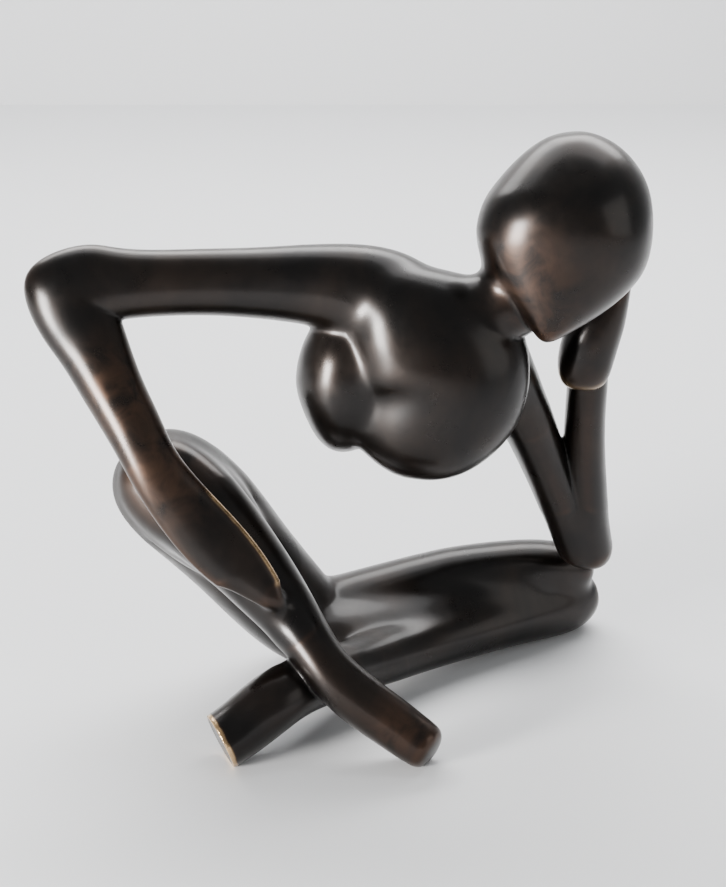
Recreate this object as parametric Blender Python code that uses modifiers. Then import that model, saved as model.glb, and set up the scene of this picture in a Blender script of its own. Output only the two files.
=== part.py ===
"""Seated thinker: a small bronze of an abstract figure, cast in sections and joined.

The figure sits with crossed legs. Its left elbow stands on the low left knee and that hand
holds the egg-shaped head. Its right arm reaches out, folds at a sharp elbow and lays a flat
hand on the raised right shin. The torso touches the legs only through the two arms.
+X is the figure's left, -Y is its front and +Z is up. Tables and constants are millimetres.
"""

import math

import bmesh
import bpy
from mathutils import Matrix, Vector

MM = 0.001
FIT_GAP = 0.3
SADDLE_GAP = 0.5
WALL = 3.0
THICK_WALL = 5.0
BASE_CENTRE = Vector((-0.35, 30.8, 0.0))
FRONT = Vector((0.0, -0.94, 0.34))
UP = Vector((0.0, 0.0, 1.0))
CUTTER_SIZE = 400.0
ROD_SIDES = 16

# Joints: the middle of each joint face and the way its bar runs.
SPIGOT_RADIUS = 5.5
THIN_SPIGOT_RADIUS = 4.0
SPIGOT_ROOT = 9.0
SPIGOT_REACH = 11.0
VENT_RADIUS = 3.0
PIN_RADIUS = 1.2
PIN_START = 3.5
PIN_LENGTH = 13.0
PIN_HOLE_LENGTH = 40.0

RIGHT_SHOULDER = (-6, 33, 181)
RIGHT_ELBOW = (-84, 31.5, 182.5)
ARM_UNDERSIDE = 163.0
ELBOW_BAND = 36.0
FOREARM_INNER = (-60, 32, 190)
FOREARM_BAND = 120.0
LEFT_SHOULDER = (71, 45, 138)
LEFT_SHOULDER_WAY = (-0.45, -0.6, 0.66)
LEFT_ELBOW = (98.8, 61.5, 91)
LEFT_ELBOW_WAY = (0.96, 0.12, 0.25)
LEFT_WRIST = (105, 50.5, 139)
LEFT_WRIST_WAY = (0, -0.1, 1)
NECK_JOINT = (66, 33.5, 173.5)
NECK_WAY = (0.8, -0.05, 0.6)
NECK_ROOT = 9.0
NECK_REACH = 21.0
HIP = (4, 61, 19)
HIP_WAY = (1, 0.25, 0.1)
HIP_VENT_ROOT = 20.0
HIP_REACH = 18.0
LEFT_SOLE = (-48, -35, 10.5)
LEFT_SOLE_WAY = (-0.87, -0.36, -0.35)
RIGHT_KNEE = (-72, 23.5, 99)
RIGHT_KNEE_WAY = (0.228, -0.955, 0.193)
DOWELS = (
    # name, first piece, second piece, middle, way, reach to each side, radius
    ("left_wrist_dowel", "left_forearm", "left_hand", LEFT_WRIST, LEFT_WRIST_WAY, 6.0, 1.8),
    ("left_elbow_dowel", "left_upper_arm", "left_forearm", (106.2, 67, 62), LEFT_ELBOW_WAY, 5.0, 2.5),
    ("elbow_knee_dowel", "left_forearm", "left_thigh", (111.5, 75, 39.5), (-0.25, 0.72, -0.65), 5.5, 1.8),
    ("right_knee_dowel", "right_thigh", "right_shin", (-70, 23.8, 96.6), RIGHT_KNEE_WAY, 7.0, 2.5),
    ("left_knee_dowel", "left_thigh", "left_shin", (92, 83, 24), (0.1, -0.3, -0.95), 6.0, 2.5),
    ("shin_dowel", "right_shin", "left_shin", (-6, -14, 31), (0, 0.77, -0.63), 6.5, 2.5),
    ("right_hand_dowel", "right_forearm", "right_shin", (-37, -10, 73), (0, 0.94, -0.34), 3.5, 1.5),
    ("left_hand_dowel", "left_hand", "head", (106, 44, 170), (-0.51, -0.32, 0.8), 5.0, 1.8),
)
PINS = (
    # name, socket piece, spigot piece, middle of the spigot, way out
    ("right_shoulder_pin", "torso", "right_upper_arm", (0, 33, 181), (0, 1, 0)),
    ("right_elbow_pin", "right_forearm", "right_upper_arm", (-91, 31.5, 183.5), (0, 1, 0)),
    ("hip_pin", "left_thigh", "right_thigh", (10, 62.5, 19.6), (0, 1, 0.2)),
)

# Sections along each cast form: x, y, z of the middle, half width, half depth, and the
# way the depth runs where that is not the front.
HEAD = (
    (82, 8, 164.5, 2, 3),
    (83.5, 10.1, 169.7, 8.5, 8),
    (85, 13.2, 176.4, 17.5, 14),
    (86.5, 18.3, 184.2, 27, 20.5),
    (88, 23.3, 193.2, 34, 26),
    (90, 27.2, 202.9, 35.5, 29.5),
    (92.5, 31.1, 212.9, 34.2, 30),
    (93.5, 33.2, 223.2, 30.8, 27.5),
    (92.6, 34, 233, 23.4, 21.5),
    (92, 34, 239.5, 15, 14),
    (91.5, 34, 243.4, 6.2, 5.7),
)
FRONT_LOBE = (
    (17, 32, 191, 8, 9),
    (18, 31, 186, 15, 16),
    (21, 29, 179, 21.5, 20),
    (28, 27, 170, 28.5, 23),
    (36, 26, 161, 34.5, 25),
    (43.5, 25, 150, 38, 27),
    (44, 25, 140, 36.5, 26.5),
    (38, 25, 132.5, 33, 25),
    (27, 26, 125, 29.5, 22),
    (18, 28, 117, 22.5, 17),
    (13, 29, 110.5, 14.5, 11),
)
SIDE_LOBE = (
    (3, 34, 172, 8, 9),
    (4, 34, 163, 18, 19),
    (5, 34, 151, 22.5, 23.5),
    (6, 34, 137, 25, 24.5),
    (3, 35, 124.5, 19.5, 21),
    (0, 36, 115, 11.5, 13),
    (-1, 37, 110, 4, 5),
)
TRUNK = (
    (14, 34, 182, 12, 12),
    (16, 33, 175, 21, 17),
    (20, 30, 164, 30, 22),
    (24, 28, 153, 36, 24.5),
    (25, 28, 141, 37.5, 24.5),
    (22, 30, 131, 32, 21),
    (20, 31, 123, 22, 15),
    (19, 31, 118, 12, 8),
)
NECK = (
    (30, 31, 153, 17, 15),
    (41, 29, 159, 16.5, 16),
    (52, 27.5, 166, 15.5, 16),
    (63, 26, 173.5, 16, 16),
    (74, 26, 180.5, 16.5, 15.5),
    (83, 28, 186, 12, 11),
)
RIGHT_ARM = (
    (40, 30, 166, 16, 14),
    (25, 30, 174, 22, 19),
    (8, 32, 180, 20, 18),
    (-12, 33, 182, 16.3, 15),
    (-34, 33, 182.5, 14.2, 13),
    (-55, 33, 183, 13.4, 12),
    (-76, 32, 182.5, 13.4, 11.5),
    (-91, 31, 182.5, 14.6, 11),
    (-101, 30, 182.8, 18, 10.5),
    (-111, 28, 180, 24, 10),
    (-106, 25, 170, 16.8, 10),
    (-100, 22, 161, 14.8, 10),
    (-92, 14, 145, 12.5, 10),
    (-82, 5, 130, 11.5, 9.5),
    (-77, 0, 121, 10.8, 8),
    (-71, -5, 112, 11.2, 6.5),
    (-61, -8, 99, 12.4, 5),
    (-49, -11, 85.5, 13.2, 4.5),
    (-37, -14.5, 74.2, 11.2, 4),
    (-26, -17.5, 64.4, 6.8, 3.5),
    (-20, -19.5, 60.3, 1.5, 2),
)
THIGHS = (
    (-87, 26, 114, 10, 9),
    (-82, 27, 108, 20, 15),
    (-74, 30, 98, 25.5, 19),
    (-58, 37, 80, 25.5, 20),
    (-42, 44, 56, 22.5, 20),
    (-26, 50, 33, 22, 21),
    (-12, 56, 17.5, 22, 22),
    (2, 60, 18, 21, 20.5),
    (18, 65, 25, 17.5, 18),
    (36, 71, 30, 14.8, 16),
    (54, 77, 33.5, 13.4, 15),
    (82, 84, 35, 12.5, 14),
    (101, 88, 32, 12.5, 13.5),
    (110, 92, 28, 11, 12),
    (115, 95, 25, 6, 7),
)
LEG_WEB = (
    (13, 43, 21.3, 15, 7, 0, -0.18, 0.98),
    (19, 46.5, 21.5, 20, 10, 0, -0.24, 0.97),
    (29, 52.5, 21.9, 20.5, 11.6, 0, -0.37, 0.93),
    (40, 59, 22.7, 20.5, 12.3, 0, -0.52, 0.85),
    (54, 67, 23.5, 19.5, 12.6, 0, -0.7, 0.7),
    (68, 73.8, 24, 18.5, 12.8, 0, -0.84, 0.54),
    (84, 80.7, 24, 17, 12.8, 0, -0.95, 0.32),
    (97, 86.5, 23.5, 12, 10, 0, -1, 0.1),
)
KNEE_WEB = (
    (-77, 23, 107, 15, 13),
    (-71, 23, 98, 23, 16.5),
    (-58, 24, 85, 22.5, 19),
    (-46, 24, 71, 19, 20),
    (-37, 24, 58, 10, 11),
)
RIGHT_SHIN = (
    (-85, 19, 115, 9, 8),
    (-80, 19, 108.5, 18, 13),
    (-70, 17, 100, 21.5, 15),
    (-56, 12, 89, 20, 16),
    (-44, 8, 77, 17.5, 15),
    (-28, 0, 60, 14.7, 13.5),
    (-13, -14, 45.5, 10.4, 11.5),
    (-6, -22, 37.5, 9.8, 11),
    (4, -27, 28, 10.8, 11),
    (19, -30.5, 18, 10.6, 10.5),
    (33, -34.2, 8.6, 10, 10),
    (39, -38.2, 6.2, 8.9, 8.9),
)
LEFT_SHIN = (
    (118, 101, 16, 8, 8),
    (112, 97, 14.8, 14, 13),
    (102, 89, 13.6, 16, 14),
    (84, 77, 12.8, 13.5, 14),
    (54, 57, 13.5, 12.7, 13.5),
    (26, 34, 15.5, 12.3, 12.5),
    (4, 10, 20, 11.6, 12),
    (-6, -5, 23.5, 11.7, 12),
    (-18, -18, 25.5, 12.2, 12.3),
    (-28, -25.5, 21.5, 12.6, 12.5),
    (-37, -29, 14.8, 12.2, 12.2),
    (-46, -34, 9.8, 11.8, 11.8),
    (-56, -39.5, 7, 11.4, 11.4),
)
LEFT_UPPER_ARM = (
    (61, 36, 160, 14, 12),
    (65, 40, 152, 14.2, 13),
    (75, 48, 129, 12.4, 13),
    (82, 54, 113, 11.2, 12.5),
    (91, 61, 91, 10.2, 12),
    (101, 66, 68, 10.4, 12),
    (108, 69, 50, 11.5, 12),
    (111, 70, 43, 8, 8),
)
LEFT_FOREARM = (
    (114, 71, 40, 7, 8),
    (113, 70, 46, 11, 11),
    (109, 67, 62, 11.3, 12),
    (108, 64, 81, 10, 11.5),
    (106.5, 60, 99, 9.2, 10.5),
    (105.7, 56, 117, 8.7, 9.5),
    (105.7, 52.5, 132, 8.7, 9),
    (105.7, 50.5, 142, 8.4, 8.6),
    (105, 49.5, 148, 7, 8),
)
LEFT_HAND = (
    (105, 49.5, 129, 8.5, 8),
    (104.6, 49, 136, 9.8, 10),
    (104, 48, 144, 11.2, 12),
    (105.2, 47.5, 154, 12, 12.5),
    (110.4, 47, 166, 10.4, 11.5),
    (116, 46, 176, 6.2, 7),
    (120.5, 46, 181, 1.5, 3),
)


def place(spot):
    """A spot given in millimetres, in metres from the middle of the base."""
    return (Vector(spot) - BASE_CENTRE) * MM


def material(name, colour, roughness, metallic=1.0):
    shade = bpy.data.materials.new(name)
    shade.use_nodes = True
    shader = shade.node_tree.nodes["Principled BSDF"]
    shader.inputs["Base Color"].default_value = (*colour, 1.0)
    shader.inputs["Roughness"].default_value = roughness
    shader.inputs["Metallic"].default_value = metallic
    return shade


def section_axes(spots, index, facing):
    """Side and depth directions of one section, square to the run of the form there."""
    along = Vector((0.0, 0.0, 0.0))
    if index > 0:
        along += (spots[index] - spots[index - 1]).normalized()
    if index < len(spots) - 1:
        along += (spots[index + 1] - spots[index]).normalized()
    along.normalize()
    depth = (facing - facing.dot(along) * along).normalized()
    return depth.cross(along), depth


def form(name, table, grow=0.0, sides=8, levels=1):
    """A soft form: a coarse cage of elliptical sections with a Subdivision Surface.

    The surface settles inside its cage, so the cage is made wider by the known share.
    """
    widen = 3.0 / (2.0 + math.cos(2.0 * math.pi / sides))
    spots = [place(row[:3]) for row in table]
    cage = bmesh.new()
    rings = []
    for index, row in enumerate(table):
        facing = Vector(row[5:]) if len(row) > 5 else FRONT
        side, depth = section_axes(spots, index, facing)
        half_width = (row[3] + grow) * MM * widen
        half_depth = (row[4] + grow) * MM * widen
        ring = []
        for step in range(sides):
            turn = 2.0 * math.pi * step / sides
            offset = side * half_width * math.cos(turn) + depth * half_depth * math.sin(turn)
            ring.append(cage.verts.new(spots[index] + offset))
        rings.append(ring)
    for first, second in zip(rings, rings[1:]):
        for step in range(sides):
            after = (step + 1) % sides
            cage.faces.new((first[step], first[after], second[after], second[step]))
    cage.faces.new(rings[0][::-1])
    cage.faces.new(rings[-1])
    bmesh.ops.recalc_face_normals(cage, faces=cage.faces)
    mesh = bpy.data.meshes.new(name)
    cage.to_mesh(mesh)
    cage.free()
    mesh.shade_smooth()
    piece = bpy.data.objects.new(name, mesh)
    soften = piece.modifiers.new("soft form", "SUBSURF")
    soften.levels = levels
    soften.render_levels = levels
    return piece


def part(piece, look):
    PARTS.objects.link(piece)
    piece.data.materials.append(look)
    return piece


def tool(piece):
    """A guide or cutter: it shapes its neighbours and is not part of the bronze."""
    CUTTERS.objects.link(piece)
    piece.hide_render = True
    piece.display_type = "WIRE"
    return piece


def combine(piece, other, operation="DIFFERENCE"):
    step = piece.modifiers.new(other.name, "BOOLEAN")
    step.operation = operation
    step.solver = "EXACT"
    step.object = other


def turned_to(direction):
    """The rotation that turns +Z to a direction."""
    return UP.rotation_difference(Vector(direction)).to_matrix().to_4x4()


def beyond(name, spot, direction, size=(CUTTER_SIZE, CUTTER_SIZE, CUTTER_SIZE)):
    """A box over all there is past a flat joint face, from half the fit gap before it."""
    block = bmesh.new()
    bmesh.ops.create_cube(block, size=1.0)
    bmesh.ops.scale(block, vec=Vector(size) * MM, verts=block.verts)
    lift = (size[2] / 2.0 - FIT_GAP / 2.0) * MM
    bmesh.ops.translate(block, vec=Vector((0.0, 0.0, lift)), verts=block.verts)
    mesh = bpy.data.meshes.new(name)
    block.to_mesh(mesh)
    block.free()
    box = bpy.data.objects.new(name, mesh)
    box.matrix_world = Matrix.Translation(place(spot)) @ turned_to(direction)
    return tool(box)


def rod(name, spot, direction, length, radius):
    """A round bar that starts at a spot and runs along a direction."""
    bar = bmesh.new()
    bmesh.ops.create_cone(
        bar,
        cap_ends=True,
        segments=ROD_SIDES,
        radius1=radius * MM,
        radius2=radius * MM,
        depth=length * MM,
    )
    bmesh.ops.translate(bar, vec=Vector((0.0, 0.0, length / 2.0 * MM)), verts=bar.verts)
    mesh = bpy.data.meshes.new(name)
    bar.to_mesh(mesh)
    bar.free()
    mesh.shade_smooth()
    mesh.set_sharp_from_angle(angle=math.radians(40))
    piece = bpy.data.objects.new(name, mesh)
    piece.matrix_world = Matrix.Translation(place(spot)) @ turned_to(direction)
    return piece


def turned_back(direction):
    return tuple(-share for share in direction)


def dowel(name, first, second, spot, direction, reach, radius, look):
    """A loose bar across a joint, in a blind bore in each of the two pieces."""
    way = Vector(direction).normalized()
    start = Vector(spot) - way * reach
    part(rod(name, start, way, 2.0 * reach, radius), look)
    bore_start = start - way * FIT_GAP
    bore_length = 2.0 * (reach + FIT_GAP)
    bore = tool(rod(name + "_bore", bore_start, way, bore_length, radius + FIT_GAP))
    combine(first, bore)
    combine(second, bore)


def spigot(inner, outer, name, spot, direction, radius, root=SPIGOT_ROOT, reach=SPIGOT_REACH):
    """A round bar cast on the inner piece, and its bore in the outer piece."""
    way = Vector(direction).normalized()
    start = Vector(spot) - way * root
    length = root + reach
    combine(inner, tool(rod(name + "_spigot", start, way, length, radius)), "UNION")
    bore = rod(name + "_bore", start, way, length + 2.0 * FIT_GAP, radius + FIT_GAP)
    combine(outer, tool(bore))


def vent(piece, name, spot, direction, root, reach):
    """The core vent: a hole from the hollow through the whole spigot."""
    way = Vector(direction).normalized()
    start = Vector(spot) - way * root
    combine(piece, tool(rod(name + "_vent", start, way, root + reach, VENT_RADIUS)))


def cross_pin(name, socket, inner, spot, direction, look):
    """A pin driven from the back through the socket's wall and across the spigot."""
    way = Vector(direction).normalized()
    start = Vector(spot) - way * PIN_START
    part(rod(name, start, way, PIN_LENGTH, PIN_RADIUS), look)
    hole = rod(name + "_hole", start - way * FIT_GAP, way, PIN_HOLE_LENGTH, PIN_RADIUS + FIT_GAP)
    tool(hole)
    combine(socket, hole)
    combine(inner, hole)


for item in list(bpy.data.objects):
    bpy.data.objects.remove(item, do_unlink=True)

PARTS = bpy.data.collections.new("seated_thinker")
CUTTERS = bpy.data.collections.new("seated_thinker_cutters")
bpy.context.scene.collection.children.link(PARTS)
bpy.context.scene.collection.children.link(CUTTERS)

bronze = material("patinated_bronze", (0.035, 0.024, 0.017), 0.32)
rod_bronze = material("turned_bronze", (0.45, 0.26, 0.12), 0.35)

# The rest faces: everything under the floor plane is cut away.
floor = beyond("floor", (0, 0, -FIT_GAP / 2.0), (0, 0, -1))

# Cast sections. Forms that two sections share are parted at a flat joint face.
head = part(form("head", HEAD, sides=10), bronze)
torso = part(form("torso", FRONT_LOBE, sides=10), bronze)
right_upper_arm = part(form("right_upper_arm", RIGHT_ARM), bronze)
right_forearm = part(form("right_forearm", RIGHT_ARM), bronze)
left_upper_arm = part(form("left_upper_arm", LEFT_UPPER_ARM), bronze)
left_forearm = part(form("left_forearm", LEFT_FOREARM), bronze)
left_hand = part(form("left_hand", LEFT_HAND), bronze)
right_thigh = part(form("right_thigh", THIGHS), bronze)
left_thigh = part(form("left_thigh", THIGHS), bronze)
right_shin = part(form("right_shin", RIGHT_SHIN), bronze)
left_shin = part(form("left_shin", LEFT_SHIN), bronze)

# Fitted seats: a form grown by the gap is cut out of whatever rests on that form.
head_seat = tool(form("head_seat", HEAD, grow=FIT_GAP, sides=10))
chest_seat = tool(form("chest_seat", FRONT_LOBE, grow=SADDLE_GAP, sides=10))
trunk_seat = tool(form("trunk_seat", TRUNK, grow=SADDLE_GAP, sides=10))
side_seat = tool(form("side_seat", SIDE_LOBE, grow=FIT_GAP, sides=10))
neck_seat = tool(form("neck_seat", NECK, grow=SADDLE_GAP))
thigh_seat = tool(form("thigh_seat", THIGHS, grow=FIT_GAP))
right_shin_seat = tool(form("right_shin_seat", RIGHT_SHIN, grow=FIT_GAP))
left_shin_seat = tool(form("left_shin_seat", LEFT_SHIN, grow=FIT_GAP))

# Torso: a trunk with two lobes, the neck and the root of the right arm, cast as one shell.
shoulder = tool(form("shoulder", RIGHT_ARM[:5]))
combine(shoulder, beyond("shoulder_face", RIGHT_SHOULDER, (-1, 0, 0)))
combine(torso, tool(form("trunk", TRUNK, sides=10)), "UNION")
combine(torso, tool(form("side_lobe", SIDE_LOBE, sides=10)), "UNION")
combine(torso, tool(form("neck", NECK)), "UNION")
combine(torso, shoulder, "UNION")
combine(torso, head_seat)
torso_core = tool(form("torso_core", FRONT_LOBE[1:-1], grow=-WALL))
combine(torso_core, tool(form("trunk_core", TRUNK[1:-1], grow=-WALL)), "UNION")
combine(torso, torso_core)

# Head: a shell that stands on the neck's spigot, which is also the torso's vent.
combine(head, tool(form("head_core", HEAD[1:-1], grow=-WALL)))
spigot(torso, head, "neck", NECK_JOINT, NECK_WAY, SPIGOT_RADIUS, root=NECK_ROOT, reach=NECK_REACH)
vent(torso, "neck", NECK_JOINT, NECK_WAY, NECK_ROOT + 2.0, NECK_REACH + 2.0)

# Right arm: parted at the shoulder and just before the elbow.
combine(right_upper_arm, beyond("arm_past_shoulder", RIGHT_SHOULDER, (1, 0, 0)))
combine(right_upper_arm, beyond("arm_past_elbow", RIGHT_ELBOW, (-1, 0, 0)))
combine(right_upper_arm, trunk_seat)
combine(right_upper_arm, side_seat)
combine(right_upper_arm, beyond("arm_underneath", (0, 0, ARM_UNDERSIDE), (0, 0, -1)))
spigot(right_upper_arm, torso, "right_shoulder", RIGHT_SHOULDER, (1, 0, 0), SPIGOT_RADIUS)
elbow_block = (ELBOW_BAND, CUTTER_SIZE, CUTTER_SIZE)
combine(right_forearm, beyond("forearm_past_elbow", RIGHT_ELBOW, (1, 0, 0), elbow_block))
inner_block = (FOREARM_BAND, CUTTER_SIZE, CUTTER_SIZE)
combine(right_forearm, beyond("forearm_inside", FOREARM_INNER, (1, 0, 0), inner_block))
combine(right_forearm, right_shin_seat)
combine(right_forearm, thigh_seat)
spigot(right_upper_arm, right_forearm, "right_elbow", RIGHT_ELBOW, (-1, 0, 0), THIN_SPIGOT_RADIUS)

# Left arm: a saddle on the torso's back, folded at the elbow, standing on the left knee.
combine(left_upper_arm, chest_seat)
combine(left_upper_arm, trunk_seat)
combine(left_upper_arm, neck_seat)
combine(left_upper_arm, beyond("arm_past_fold", LEFT_ELBOW, LEFT_ELBOW_WAY))
combine(left_forearm, beyond("forearm_past_fold", LEFT_ELBOW, turned_back(LEFT_ELBOW_WAY)))
combine(left_forearm, beyond("forearm_past_wrist", LEFT_WRIST, LEFT_WRIST_WAY))
combine(left_hand, beyond("hand_past_wrist", LEFT_WRIST, turned_back(LEFT_WRIST_WAY)))
combine(left_hand, head_seat)
for limb in (left_upper_arm, left_forearm):
    combine(limb, thigh_seat)
spigot(left_upper_arm, torso, "left_shoulder", LEFT_SHOULDER, LEFT_SHOULDER_WAY, THIN_SPIGOT_RADIUS)

# Legs: parted at the hip and the knees, the right shin lying over the left one.
combine(right_thigh, tool(form("knee_web", KNEE_WEB)), "UNION")
combine(right_thigh, beyond("thigh_past_hip", HIP, HIP_WAY))
combine(right_thigh, beyond("thigh_past_knee", RIGHT_KNEE, RIGHT_KNEE_WAY))
combine(right_thigh, tool(form("haunch_core", THIGHS[3:7], grow=-WALL)))
combine(right_shin, beyond("shin_past_knee", RIGHT_KNEE, turned_back(RIGHT_KNEE_WAY)))
combine(right_shin, left_shin_seat)
combine(right_shin, tool(form("right_shin_core", RIGHT_SHIN[3:8], grow=-THICK_WALL)))
combine(left_thigh, beyond("thigh_before_hip", HIP, turned_back(HIP_WAY)))
leg_web = tool(form("leg_web", LEG_WEB))
combine(leg_web, left_shin_seat)
combine(left_thigh, leg_web, "UNION")
combine(left_thigh, tool(form("left_thigh_core", THIGHS[7:11], grow=-WALL)))
combine(left_shin, thigh_seat)
combine(left_shin, tool(form("left_shin_core", LEFT_SHIN[3:9], grow=-WALL)))
combine(left_shin, beyond("left_sole", LEFT_SOLE, LEFT_SOLE_WAY))
for limb in (right_thigh, left_thigh, right_shin, left_shin):
    combine(limb, floor)
spigot(right_thigh, left_thigh, "hip", HIP, HIP_WAY, SPIGOT_RADIUS, reach=HIP_REACH)
vent(right_thigh, "hip", HIP, HIP_WAY, HIP_VENT_ROOT, HIP_REACH + 2.0)

# Dowels and cross pins.
sections = {piece.name: piece for piece in PARTS.objects}
for name, first, second, spot, way, reach, radius in DOWELS:
    dowel(name, sections[first], sections[second], spot, way, reach, radius, rod_bronze)
for name, socket, inner, spot, way in PINS:
    cross_pin(name, sections[socket], sections[inner], spot, way, rod_bronze)
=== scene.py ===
"""Looks of the seated thinker: fused bronze skins over the CAD sections, patina, light and camera."""
import math

import bmesh
import bpy
import numpy as np
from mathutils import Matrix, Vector


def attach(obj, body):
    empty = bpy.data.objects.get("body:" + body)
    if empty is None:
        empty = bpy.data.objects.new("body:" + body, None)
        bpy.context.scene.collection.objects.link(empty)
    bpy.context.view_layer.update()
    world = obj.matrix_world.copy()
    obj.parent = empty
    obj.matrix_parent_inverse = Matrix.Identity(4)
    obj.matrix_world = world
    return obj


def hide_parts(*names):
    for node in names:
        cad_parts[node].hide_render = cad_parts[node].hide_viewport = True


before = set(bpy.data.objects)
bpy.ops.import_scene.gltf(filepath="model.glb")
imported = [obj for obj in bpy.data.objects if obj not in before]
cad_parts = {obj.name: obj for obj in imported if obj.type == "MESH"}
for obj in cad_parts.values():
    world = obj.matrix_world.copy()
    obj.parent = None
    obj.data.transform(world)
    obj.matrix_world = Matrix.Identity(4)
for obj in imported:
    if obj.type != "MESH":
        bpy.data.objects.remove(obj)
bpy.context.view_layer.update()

MM = 0.001
BASE_CENTRE = Vector((-0.35, 30.8, 0.0))
FRONT = Vector((0.0, -0.94, 0.34))
VOXEL = 0.55 * MM
FILLET_PASSES = 5
HAND_FILLET_PASSES = 3
BLEND_PASSES = 600
BLEND_STEPS = 10
PROUDNESS_ROUNDS = 14
PROUDNESS_SMOOTHING = 3
STAGE_SIZE = 8.0
FLOOR_DROP = 0.2 * MM
BACKDROP_DISTANCE = 1.6
LAMP_AIM = Vector((0.0, 0.0, 0.12))
FLOOR = (0, 0, 0)
DOWN = (0, 0, -1)
LEFT_SOLE = (-48, -35, 10.5)
LEFT_SOLE_WAY = (-0.87, -0.36, -0.35)
SECTIONS = (
    "head",
    "torso",
    "right_upper_arm",
    "right_forearm",
    "left_upper_arm",
    "left_forearm",
    "right_thigh",
    "left_thigh",
    "right_shin",
    "left_shin",
)
BARS = (
    "left_wrist_dowel",
    "left_elbow_dowel",
    "elbow_knee_dowel",
    "right_knee_dowel",
    "left_knee_dowel",
    "shin_dowel",
    "right_hand_dowel",
    "left_hand_dowel",
    "right_shoulder_pin",
    "right_elbow_pin",
    "hip_pin",
)

# Sections along each form, mostly as in the CAD: x, y, z of the middle, half width, half
# depth, and the way the depth runs where that is not the front.
HEAD = (
    (82, 8, 164.5, 2, 3),
    (83.5, 10.1, 169.7, 8.5, 8),
    (85, 13.2, 176.4, 17.5, 14),
    (86.5, 18.3, 184.2, 27, 20.5),
    (88, 23.3, 193.2, 34, 26),
    (90, 27.2, 202.9, 35.5, 29.5),
    (92.5, 31.1, 212.9, 34.2, 30),
    (93.5, 33.2, 223.2, 30.8, 27.5),
    (92.6, 34, 233, 23.4, 21.5),
    (92, 34, 239.5, 15, 14),
    (91.5, 34, 243.4, 6.2, 5.7),
)
FRONT_LOBE = (
    (17, 32, 191, 8, 9),
    (18, 31, 186, 15, 16),
    (21, 29, 179, 21.5, 20),
    (28, 27, 170, 28.5, 23),
    (36, 26, 161, 34.5, 25),
    (43.5, 25, 150, 38, 27),
    (44, 25, 140, 36.5, 26.5),
    (38, 25, 132.5, 33, 25),
    (27, 26, 125, 29.5, 22),
    (18, 28, 117, 22.5, 17),
    (13, 29, 110.5, 14.5, 11),
)
SIDE_LOBE = (
    (3, 34, 172, 8, 9),
    (4, 34, 163, 18, 19),
    (5, 34, 151, 22.5, 23.5),
    (6, 34, 137, 25, 24.5),
    (3, 35, 124.5, 19.5, 21),
    (0, 36, 115, 11.5, 13),
    (-1, 37, 110, 4, 5),
)
# The trunk is narrower than in the CAD, so that the crease beside the front lobe shows.
TRUNK = (
    (14, 34, 182, 12, 12),
    (18, 33, 175, 19, 17),
    (25, 30, 164, 25, 22),
    (32, 28, 153, 28, 24.5),
    (33, 28, 141, 29.5, 24.5),
    (28, 30, 131, 26, 21),
    (22, 31, 123, 20, 15),
    (19, 31, 118, 12, 8),
)
NECK = (
    (30, 31, 153, 17, 15),
    (41, 29, 159, 16.5, 16),
    (52, 27.5, 166, 15.5, 16),
    (63, 26, 173.5, 16, 16),
    (74, 26, 180.5, 16.5, 15.5),
    (83, 28, 186, 12, 11),
)
RIGHT_ARM = (
    (40, 30, 166, 16, 14),
    (25, 30, 174, 22, 19),
    (8, 32, 180, 20, 18),
    (-12, 33, 182, 16.3, 15),
    (-34, 33, 182.5, 14.2, 13),
    (-55, 33, 183, 13.4, 12),
    (-76, 32, 182.5, 13.4, 11.5),
    (-91, 31, 182.5, 14.6, 11),
    (-101, 30, 182.8, 18, 10.5),
    (-111, 28, 180, 24, 10),
    (-106, 25, 170, 16.8, 10),
    (-100, 22, 161, 14.8, 10),
    (-92, 14, 145, 12.5, 10),
    (-82, 5, 130, 11.5, 9.5),
    (-77, 0, 121, 10.8, 8),
    (-71, -5, 112, 11.2, 6.5),
    (-61, -8, 99, 12.4, 5),
    (-49, -11, 85.5, 13.2, 4.5),
    (-37, -14.5, 74.2, 11.2, 4),
    (-26, -17.5, 64.4, 6.8, 3.5),
    (-20, -19.5, 60.3, 1.5, 2),
)
THIGHS = (
    (-87, 26, 114, 10, 9),
    (-82, 27, 108, 20, 15),
    (-74, 30, 98, 25.5, 19),
    (-58, 37, 80, 25.5, 20),
    (-42, 44, 56, 22.5, 20),
    (-26, 50, 33, 22, 21),
    (-12, 56, 17.5, 22, 22),
    (2, 60, 18, 21, 20.5),
    (18, 65, 25, 17.5, 18),
    (36, 71, 30, 14.8, 16),
    (54, 77, 33.5, 13.4, 15),
    (82, 84, 35, 12.5, 14),
    (101, 88, 32, 12.5, 13.5),
    (110, 92, 28, 11, 12),
    (115, 95, 25, 6, 7),
)
LEG_WEB = (
    (13, 43, 21.3, 15, 7, 0, -0.18, 0.98),
    (19, 46.5, 21.5, 20, 10, 0, -0.24, 0.97),
    (29, 52.5, 21.9, 20.5, 11.6, 0, -0.37, 0.93),
    (40, 59, 22.7, 20.5, 12.3, 0, -0.52, 0.85),
    (54, 67, 23.5, 19.5, 12.6, 0, -0.7, 0.7),
    (68, 73.8, 24, 18.5, 12.8, 0, -0.84, 0.54),
    (84, 80.7, 24, 17, 12.8, 0, -0.95, 0.32),
    (97, 86.5, 23.5, 12, 10, 0, -1, 0.1),
)
KNEE_WEB = (
    (-77, 23, 107, 15, 13),
    (-71, 23, 98, 23, 16.5),
    (-58, 24, 85, 22.5, 19),
    (-46, 24, 71, 19, 20),
    (-37, 24, 58, 10, 11),
)
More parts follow.
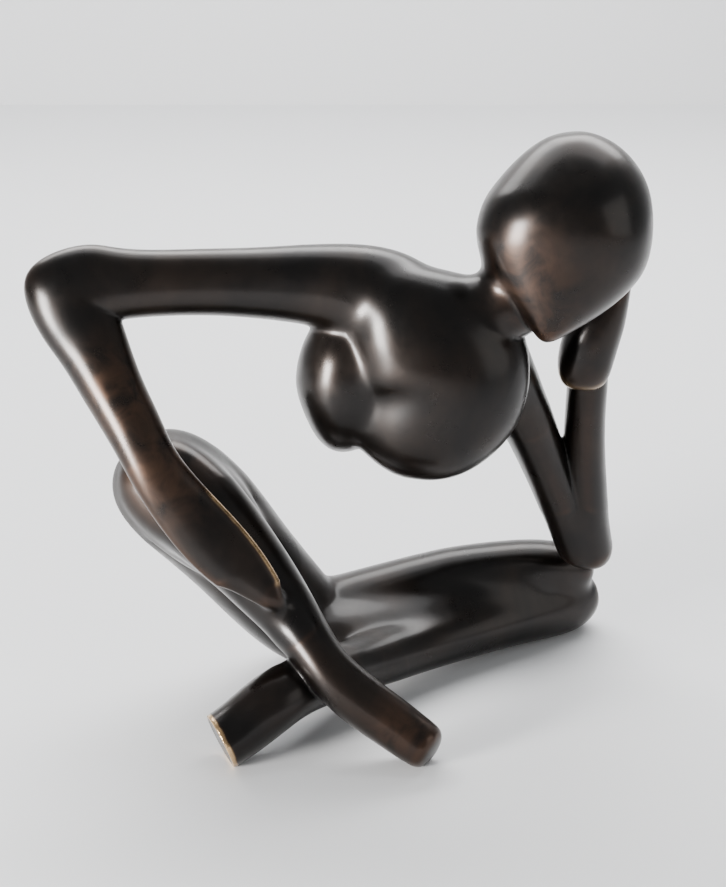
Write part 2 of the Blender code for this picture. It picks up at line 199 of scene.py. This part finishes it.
RIGHT_SHIN = (
    (-85, 19, 115, 9, 8),
    (-80, 19, 108.5, 18, 13),
    (-70, 17, 100, 21.5, 15),
    (-56, 12, 89, 20, 16),
    (-44, 8, 77, 17.5, 15),
    (-28, 0, 60, 14.7, 13.5),
    (-13, -14, 45.5, 10.4, 11.5),
    (-6, -22, 37.5, 9.8, 11),
    (4, -27, 28, 10.8, 11),
    (19, -30.5, 18, 10.6, 10.5),
    (33, -34.2, 8.6, 10, 10),
    (39, -38.2, 6.2, 8.9, 8.9),
)
LEFT_SHIN = (
    (118, 101, 16, 8, 8),
    (112, 97, 14.8, 14, 13),
    (102, 89, 13.6, 16, 14),
    (84, 77, 12.8, 13.5, 14),
    (54, 57, 13.5, 12.7, 13.5),
    (26, 34, 15.5, 12.3, 12.5),
    (4, 10, 20, 11.6, 12),
    (-6, -5, 23.5, 11.7, 12),
    (-18, -18, 25.5, 12.2, 12.3),
    (-28, -25.5, 21.5, 12.6, 12.5),
    (-37, -29, 14.8, 12.2, 12.2),
    (-46, -34, 9.8, 11.8, 11.8),
    (-56, -39.5, 7, 11.4, 11.4),
)
LEFT_UPPER_ARM = (
    (61, 36, 160, 14, 12),
    (65, 40, 152, 14.2, 13),
    (75, 48, 129, 12.4, 13),
    (82, 54, 113, 11.2, 12.5),
    (91, 61, 91, 10.2, 12),
    (101, 66, 68, 10.4, 12),
    (108, 69, 50, 11.5, 12),
    (111, 70, 43, 8, 8),
)
LEFT_FOREARM = (
    (114, 71, 40, 7, 8),
    (113, 70, 46, 11, 11),
    (109, 67, 62, 11.3, 12),
    (108, 64, 81, 10, 11.5),
    (106.5, 60, 99, 9.2, 10.5),
    (105.7, 56, 117, 8.7, 9.5),
    (105.7, 52.5, 132, 8.7, 9),
    (105.7, 50.5, 142, 8.4, 8.6),
    (105, 49.5, 148, 7, 8),
)
# The web between the low thigh and shin starts under the raised shin.
WEB_START = (
    (-14, 30, 27, 6, 5, 0, -0.15, 0.99),
    (-2, 36, 24, 15, 10, 0, -0.25, 0.97),
    (12, 43, 21, 20, 12, 0, -0.35, 0.94),
)
# The hand's heel is rounded and laps over the wrist.
CUPPED_HAND = (
    (102.5, 43.5, 132.8, 4, 3),
    (102.6, 44, 134.8, 8.5, 6),
    (102.8, 45, 139.5, 11, 9),
    (103.6, 46.5, 146.5, 12, 11),
    (105.8, 47, 155.5, 12, 11.8),
    (110.5, 47, 166, 10.3, 10.5),
    (115.6, 46, 176, 6.2, 7),
    (120.5, 46, 181, 1.5, 3),
)


def place(spot):
    """A spot given in millimetres, in metres from the middle of the base."""
    return (Vector(spot) - BASE_CENTRE) * MM


def section_axes(spots, index, facing):
    """Side and depth directions of one section, square to the run of the form there."""
    along = Vector((0.0, 0.0, 0.0))
    if index > 0:
        along += (spots[index] - spots[index - 1]).normalized()
    if index < len(spots) - 1:
        along += (spots[index + 1] - spots[index]).normalized()
    along.normalize()
    depth = (facing - facing.dot(along) * along).normalized()
    return depth.cross(along), depth


def form(name, table, sides=8, levels=4):
    """A soft form: a coarse cage of elliptical sections with a Subdivision Surface, as a mesh."""
    widen = 3.0 / (2.0 + math.cos(2.0 * math.pi / sides))
    spots = [place(row[:3]) for row in table]
    cage = bmesh.new()
    rings = []
    for index, row in enumerate(table):
        facing = Vector(row[5:]) if len(row) > 5 else FRONT
        side, depth = section_axes(spots, index, facing)
        ring = []
        for step in range(sides):
            turn = 2.0 * math.pi * step / sides
            offset = side * row[3] * math.cos(turn) + depth * row[4] * math.sin(turn)
            ring.append(cage.verts.new(spots[index] + offset * MM * widen))
        rings.append(ring)
    for first, second in zip(rings, rings[1:]):
        for step in range(sides):
            after = (step + 1) % sides
            cage.faces.new((first[step], first[after], second[after], second[step]))
    cage.faces.new(rings[0][::-1])
    cage.faces.new(rings[-1])
    bmesh.ops.recalc_face_normals(cage, faces=cage.faces)
    mesh = bpy.data.meshes.new(name)
    cage.to_mesh(mesh)
    cage.free()
    piece = bpy.data.objects.new(name, mesh)
    bpy.context.scene.collection.objects.link(piece)
    soften = piece.modifiers.new("soft form", "SUBSURF")
    soften.levels = levels
    soften.render_levels = levels
    settle(piece)
    return piece


def cut_flat(piece, spot, way):
    """Cuts away all there is of a piece past a plane, and closes the cut."""
    mesh = bmesh.new()
    mesh.from_mesh(piece.data)
    everything = mesh.verts[:] + mesh.edges[:] + mesh.faces[:]
    cut = bmesh.ops.bisect_plane(
        mesh, geom=everything, plane_co=place(spot), plane_no=Vector(way), clear_outer=True
    )
    rim = [item for item in cut["geom_cut"] if isinstance(item, bmesh.types.BMEdge)]
    if rim:
        bmesh.ops.contextual_create(mesh, geom=rim)
    mesh.to_mesh(piece.data)
    mesh.free()
    return piece


def settle(piece):
    """Applies the piece's modifiers to its mesh."""
    graph = bpy.context.evaluated_depsgraph_get()
    mesh = bpy.data.meshes.new_from_object(piece.evaluated_get(graph), depsgraph=graph)
    old = piece.data
    piece.modifiers.clear()
    piece.data = mesh
    bpy.data.meshes.remove(old)


def weigh(skin, places):
    """Vertex group "blend": full near each place, nothing beyond its outer radius."""
    count = len(skin.data.vertices)
    spots = np.empty(count * 3, dtype=np.float64)
    skin.data.vertices.foreach_get("co", spots)
    spots = spots.reshape(count, 3)
    weight = np.zeros(count)
    for spot, inner, outer in places:
        away = np.linalg.norm(spots - np.array(place(spot)), axis=1) / MM
        weight = np.maximum(weight, np.clip((outer - away) / (outer - inner), 0.0, 1.0))
    group = skin.vertex_groups.new(name="blend")
    steps = np.round(weight * BLEND_STEPS).astype(int)
    for step in range(1, BLEND_STEPS + 1):
        group.add(np.flatnonzero(steps == step).tolist(), step / BLEND_STEPS, "REPLACE")


def fuse(name, forms, voxel, passes, blends=(), blend_passes=0):
    """One skin over several forms: voxel remesh, then smoothing, wider at the blends."""
    whole = bmesh.new()
    for piece in forms:
        whole.from_mesh(piece.data)
        bpy.data.objects.remove(piece, do_unlink=True)
    mesh = bpy.data.meshes.new(name)
    whole.to_mesh(mesh)
    whole.free()
    skin = bpy.data.objects.new(name, mesh)
    bpy.context.scene.collection.objects.link(skin)
    remesh = skin.modifiers.new("fuse", "REMESH")
    remesh.mode = "VOXEL"
    remesh.voxel_size = voxel
    remesh.adaptivity = 0.0
    settle(skin)
    if blends:
        weigh(skin, blends)
        wide = skin.modifiers.new("blends", "SMOOTH")
        wide.factor = 0.5
        wide.iterations = blend_passes
        wide.vertex_group = "blend"
    smooth = skin.modifiers.new("fillets", "SMOOTH")
    smooth.factor = 0.5
    smooth.iterations = passes
    settle(skin)
    skin.data.shade_smooth()
    return skin


def measure_proudness(skin, rounds):
    """Point attribute "wear": how proud each point stands of its surroundings, in millimetres."""
    mesh = skin.data
    count = len(mesh.vertices)
    spots = np.empty(count * 3, dtype=np.float64)
    mesh.vertices.foreach_get("co", spots)
    spots = spots.reshape(count, 3)
    normals = np.empty(count * 3, dtype=np.float64)
    mesh.vertex_normals.foreach_get("vector", normals)
    normals = normals.reshape(count, 3)
    edges = np.empty(len(mesh.edges) * 2, dtype=np.int64)
    mesh.edges.foreach_get("vertices", edges)
    first, second = edges.reshape(-1, 2).T
    share = np.bincount(first, minlength=count) + np.bincount(second, minlength=count)

    def around(values):
        total = np.zeros_like(values)
        for column in range(values.shape[1]):
            total[:, column] += np.bincount(first, values[second, column], count)
            total[:, column] += np.bincount(second, values[first, column], count)
        return total / share[:, None]

    flat = spots.copy()
    for _ in range(rounds):
        flat = around(flat)
    proud = np.einsum("ij,ij->i", spots - flat, normals)[:, None]
    for _ in range(PROUDNESS_SMOOTHING):
        proud = around(proud)
    proudness = mesh.attributes.new("proudness", "FLOAT", "POINT")
    proudness.data.foreach_set("value", (proud[:, 0] / MM).astype(np.float32))


class Nodes:
    """Short ways to add shader nodes and link them."""

    def __init__(self, name):
        self.material = bpy.data.materials.new(name)
        self.material.use_nodes = True
        self.tree = self.material.node_tree
        self.shader = self.tree.nodes["Principled BSDF"]
        self.where = self.add("ShaderNodeTexCoord").outputs["Object"]

    def add(self, kind, **values):
        node = self.tree.nodes.new(kind)
        for key, value in values.items():
            setattr(node, key, value)
        return node

    def put(self, socket, value):
        if isinstance(value, bpy.types.NodeSocket):
            self.tree.links.new(value, socket)
        else:
            socket.default_value = value

    def noise(self, scale, detail=4.0, roughness=0.5, distortion=0.0, where=None):
        node = self.add("ShaderNodeTexNoise")
        self.put(node.inputs["Vector"], where or self.where)
        self.put(node.inputs["Scale"], scale)
        self.put(node.inputs["Detail"], detail)
        self.put(node.inputs["Roughness"], roughness)
        self.put(node.inputs["Distortion"], distortion)
        return node.outputs["Fac"]

    def maths(self, operation, first, second=0.0, third=0.0, clamp=False):
        node = self.add("ShaderNodeMath", operation=operation, use_clamp=clamp)
        for socket, value in zip(node.inputs, (first, second, third)):
            self.put(socket, value)
        return node.outputs[0]

    def spread(self, value, low, high, to_low=0.0, to_high=1.0):
        node = self.add("ShaderNodeMapRange", interpolation_type="SMOOTHSTEP")
        self.put(node.inputs["Value"], value)
        self.put(node.inputs["From Min"], low)
        self.put(node.inputs["From Max"], high)
        self.put(node.inputs["To Min"], to_low)
        self.put(node.inputs["To Max"], to_high)
        return node.outputs["Result"]

    def mix(self, share, first, second):
        node = self.add("ShaderNodeMix", data_type="RGBA")
        self.put(node.inputs["Factor"], share)
        self.put(node.inputs["A"], (*first, 1.0) if isinstance(first, tuple) else first)
        self.put(node.inputs["B"], (*second, 1.0) if isinstance(second, tuple) else second)
        return node.outputs["Result"]

    def near(self, spot, inner, outer):
        """1 within the inner distance of a spot, 0 beyond the outer one, in millimetres."""
        node = self.add("ShaderNodeVectorMath", operation="DISTANCE")
        self.put(node.inputs[0], self.where)
        self.put(node.inputs[1], place(spot))
        return self.spread(node.outputs["Value"], inner * MM, outer * MM, 1.0, 0.0)


WORN_PLACES = (
    # the middle of a handled place, its inner and outer radius
    ((82, 4, 170), 3, 22),
    ((72, 4, 194), 4, 28),
    ((-88, 6, 140), 4, 36),
    ((-72, -4, 114), 2, 36),
    ((26, -34, 18), 4, 22),
)
SHELTERED_PLACES = (
    # where the patina stays dull: the pocket at the crossed legs and the back of the raised knee
    ((2, 28, 34), 16, 40),
    ((-84, 26, 94), 14, 36),
)
RUBBED_AND_HIGHLIT_EDGES = (
    # the middle of a bright edge on the flat hand, the foot or the cupped hand, and its radii; the
    # gold there is partly metal rubbed bright, partly a painted highlight line along the rim
    ((-48, -8, 98), 7, 14),
    ((-36, -10, 84), 7, 14),
    ((-29, -12, 76), 5, 11),
    (LEFT_SOLE, 11, 17),
    ((98, 38, 142), 9, 15),
    ((106, 37, 138), 7, 12),
)


def bronze():
    """Dark patina, browner in clouds, rubbed warm where handled, gold on proud edges: partly metal
    rubbed bright, partly painted highlight lines.
    """
    nodes = Nodes("patinated_bronze")
    proudness = nodes.add("ShaderNodeAttribute", attribute_name="proudness").outputs["Fac"]
    cloud = nodes.noise(22.0, 5.0, 0.55, 0.4)
    blotch = nodes.noise(75.0, 6.0, 0.62, 0.8)
    grain = nodes.noise(900.0, 3.0, 0.6)

    # Colour: dark and brown clouds, russet where handled, gold on edges (rubbed metal and painted
    # highlight lines), black in hollows.
    dark = (0.0045, 0.0036, 0.0034)
    brown = (0.017, 0.0112, 0.0084)
    russet = (0.09, 0.044, 0.024)
    gold = (0.56, 0.38, 0.2)
    colour = nodes.mix(nodes.spread(cloud, 0.36, 0.74), dark, brown)
    handled = 0.0
    for spot, inner, outer in WORN_PLACES:
        handled = nodes.maths("MAXIMUM", handled, nodes.near(spot, inner, outer))
    rubbed = nodes.maths("MULTIPLY", handled, nodes.spread(blotch, 0.3, 0.68), clamp=True)
    colour = nodes.mix(nodes.maths("MULTIPLY", rubbed, 0.4), colour, russet)
    bright = 0.0
    for spot, inner, outer in RUBBED_AND_HIGHLIT_EDGES:
        bright = nodes.maths("MAXIMUM", bright, nodes.near(spot, inner, outer))
    # Gold on the proud rims of the hands and foot: partly metal rubbed bright, partly a painted
    # highlight line along the lips and rims.
    rubbed_and_highlit_edge = nodes.maths("MULTIPLY", nodes.spread(proudness, 0.11, 0.24), bright)
    rubbed_and_highlit_edge = nodes.maths("MULTIPLY", rubbed_and_highlit_edge, nodes.spread(blotch, 0.3, 0.55, 0.4, 1.0), clamp=True)
    soft_edge = nodes.maths("MULTIPLY", nodes.spread(proudness, 0.05, 0.2), 0.35)
    colour = nodes.mix(soft_edge, colour, russet)
    colour = nodes.mix(rubbed_and_highlit_edge, colour, gold)
    hollow = nodes.spread(proudness, -0.14, -0.02, 1.0, 0.0)
    colour = nodes.mix(nodes.maths("MULTIPLY", hollow, 0.6), colour, (0.006, 0.005, 0.005))

    # Casting pinholes: the middles of a few cells.
    cells = nodes.add("ShaderNodeTexVoronoi")
    nodes.put(cells.inputs["Vector"], nodes.where)
    nodes.put(cells.inputs["Scale"], 95.0)
    pits = nodes.spread(cells.outputs["Distance"], 0.028, 0.05, 1.0, 0.0)
    split = nodes.add("ShaderNodeSeparateColor")
    nodes.put(split.inputs[0], cells.outputs["Color"])
    pits = nodes.maths("MULTIPLY", pits, nodes.spread(split.outputs[0], 0.78, 0.8))
    colour = nodes.mix(pits, colour, (0.004, 0.003, 0.003))
    nodes.put(nodes.shader.inputs["Base Color"], colour)

    # Gloss: waxed, duller in hollows and sheltered places.
    nodes.shader.inputs["Metallic"].default_value = 0.8
    rough = nodes.spread(blotch, 0.25, 0.75, 0.23, 0.35)
    rough = nodes.maths("ADD", rough, nodes.maths("MULTIPLY", grain, 0.06))
    rough = nodes.maths("SUBTRACT", rough, nodes.maths("MULTIPLY", rubbed_and_highlit_edge, 0.1))
    rough = nodes.maths("ADD", rough, nodes.maths("MULTIPLY", hollow, 0.22))
    sheltered = 0.0
    for spot, inner, outer in SHELTERED_PLACES:
        sheltered = nodes.maths("MAXIMUM", sheltered, nodes.near(spot, inner, outer))
    rough = nodes.maths("ADD", rough, nodes.maths("MULTIPLY", sheltered, 0.3))
    nodes.put(nodes.shader.inputs["Roughness"], rough)
    nodes.shader.inputs["Coat Weight"].default_value = 0.3
    nodes.shader.inputs["Coat Roughness"].default_value = 0.2
    nodes.shader.inputs["Coat Tint"].default_value = (1.0, 0.97, 0.93, 1.0)

    # Relief: a faint hand-filed swell, fine grain and the pinholes.
    swell = nodes.noise(60.0, 2.0, 0.45)
    fine = nodes.noise(420.0, 3.0, 0.55)
    height = nodes.maths("ADD", swell, nodes.maths("MULTIPLY", fine, 0.05))
    height = nodes.maths("SUBTRACT", height, nodes.maths("MULTIPLY", pits, 0.6))
    bump = nodes.add("ShaderNodeBump")
    nodes.put(bump.inputs["Height"], height)
    nodes.put(bump.inputs["Strength"], 0.45)
    nodes.put(bump.inputs["Distance"], 0.22 * MM)
    nodes.put(nodes.shader.inputs["Normal"], bump.outputs["Normal"])
    return nodes.material


def plain(name, colour, roughness):
    """A matt stage material with a faint cloud in its shade."""
    nodes = Nodes(name)
    shade = nodes.mix(nodes.noise(3.0, 3.0), colour, tuple(0.96 * share for share in colour))
    nodes.put(nodes.shader.inputs["Base Color"], shade)
    nodes.shader.inputs["Roughness"].default_value = roughness
    return nodes.material


patina = bronze()

BLENDS = (
    # middle of a place that runs smoothly from form to form, full radius, outer radius
    ((14, 22, 182), 14, 36),
    ((36, 28, 178), 12, 28),
    ((24, 6, 128), 14, 30),
    ((16, 4, 145), 10, 25),
    ((44, 2, 160), 16, 30),
    ((18, 54, 150), 30, 52),
    ((30, 20, 190), 14, 24),
    ((46, 22, 178), 16, 26),
    ((58, 18, 188), 7, 15),
    ((54, 30, 190), 8, 16),
    ((76, 38, 130), 10, 20),
    ((72, 46, 150), 10, 22),
    ((104, 66, 60), 10, 20),
    ((110, 74, 40), 8, 18),
    ((6, 30, 36), 14, 26),
    ((20, 60, 28), 16, 34),
    ((40, 56, 24), 22, 40),
    ((72, 70, 24), 24, 40),
    ((96, 78, 24), 14, 28),
    ((-84, 22, 104), 20, 27),
    ((-66, 26, 106), 16, 24),
    ((-70, 6, 86), 10, 18),
    ((-54, 4, 76), 8, 16),
    ((-44, 0, 62), 8, 16),
    ((-34, -8, 54), 8, 16),
    ((-22, -15, 57), 7, 15),
    ((-38, -15, 63), 6, 13),
    ((-88, 24, 92), 10, 22),
    ((-62, 30, 92), 12, 26),
    ((-40, 30, 62), 14, 26),
    ((-16, -8, 30), 6, 14),
)

# The figure: head, torso, arms and legs, fused as the chased casting shows itself.
body = fuse(
    "figure",
    (
        form("front_lobe", FRONT_LOBE, sides=10),
        form("side_lobe", SIDE_LOBE, sides=10),
        form("trunk", TRUNK, sides=10),
        form("neck", NECK),
        form("skull", HEAD, sides=10),
        form("right_arm", RIGHT_ARM, levels=5),
        cut_flat(form("thighs", THIGHS), FLOOR, DOWN),
        form("leg_web", WEB_START + LEG_WEB[2:]),
        form("knee_web", KNEE_WEB),
        cut_flat(form("right_shin", RIGHT_SHIN), FLOOR, DOWN),
        cut_flat(cut_flat(form("left_shin", LEFT_SHIN), LEFT_SOLE, LEFT_SOLE_WAY), FLOOR, DOWN),
        form("left_upper_arm", LEFT_UPPER_ARM),
        form("left_forearm", LEFT_FOREARM),
    ),
    VOXEL,
    FILLET_PASSES,
    BLENDS,
    BLEND_PASSES,
)
hand = fuse("cupped_hand", (form("palm", CUPPED_HAND),), VOXEL, HAND_FILLET_PASSES)
for skin, nodes_replaced in (
    (body, SECTIONS + BARS),
    (hand, ("left_hand",)),
):
    measure_proudness(skin, PROUDNESS_ROUNDS)
    skin.data.materials.clear()
    skin.data.materials.append(patina)
    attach(skin, "root")
    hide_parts(*nodes_replaced)


def stage_plane(name, spot, turn, look):
    bpy.ops.mesh.primitive_plane_add(size=STAGE_SIZE, location=spot, rotation=turn)
    plane = bpy.context.object
    plane.name = name
    plane.data.materials.append(look)


paper = plain("pale_floor", (0.86, 0.86, 0.87), 0.55)
stage_plane("floor", (0.0, 0.0, -FLOOR_DROP), (0.0, 0.0, 0.0), paper)
stage_plane("backdrop", (0.0, BACKDROP_DISTANCE, 0.0), (math.radians(90), 0.0, 0.0), paper)


def area_light(name, spot, size, energy, colour):
    """A soft lamp turned to the middle of the figure, unseen by the camera."""
    lamp = bpy.data.lights.new(name, "AREA")
    lamp.shape = "RECTANGLE"
    lamp.size, lamp.size_y = size
    lamp.energy = energy
    lamp.color = colour
    holder = bpy.data.objects.new(name, lamp)
    bpy.context.scene.collection.objects.link(holder)
    holder.location = spot
    holder.visible_camera = False
    holder.rotation_euler = (LAMP_AIM - Vector(spot)).to_track_quat("-Z", "Y").to_euler()


area_light("window", (-1.05, -0.8, 0.15), (0.32, 0.6), 76.0, (1.0, 0.99, 0.97))
area_light("sky", (0.1, 0.75, 1.5), (2.0, 1.2), 22.0, (0.96, 0.98, 1.0))
area_light("wall_wash", (0.0, 1.0, 1.2), (2.4, 0.6), 36.0, (1.0, 1.0, 1.0))
area_light("fill", (1.2, -0.6, 0.5), (0.8, 0.8), 3.0, (1.0, 0.98, 0.95))

world = bpy.data.worlds.new("room")
bpy.context.scene.world = world
world.use_nodes = True
world.node_tree.nodes["Background"].inputs["Color"].default_value = (0.75, 0.78, 0.8, 1.0)
world.node_tree.nodes["Background"].inputs["Strength"].default_value = 0.46

# Camera: in front of the figure and a little above it.
CAMERA_HEIGHT_ANGLE = math.radians(20.0)
CAMERA_DISTANCE = 700.0
CAMERA_AIM = (10.0, 0.0, 125.0)
lens = bpy.data.cameras.new("camera")
lens.sensor_fit = "HORIZONTAL"
lens.sensor_width = 36.0
lens.lens = 86.8
lens.clip_start = 0.01
camera = bpy.data.objects.new("camera", lens)
bpy.context.scene.collection.objects.link(camera)
look = Vector((0.0, math.cos(CAMERA_HEIGHT_ANGLE), -math.sin(CAMERA_HEIGHT_ANGLE)))
camera.location = place(CAMERA_AIM) - look * CAMERA_DISTANCE * MM
camera.rotation_euler = look.to_track_quat("-Z", "Y").to_euler()
bpy.context.scene.camera = camera
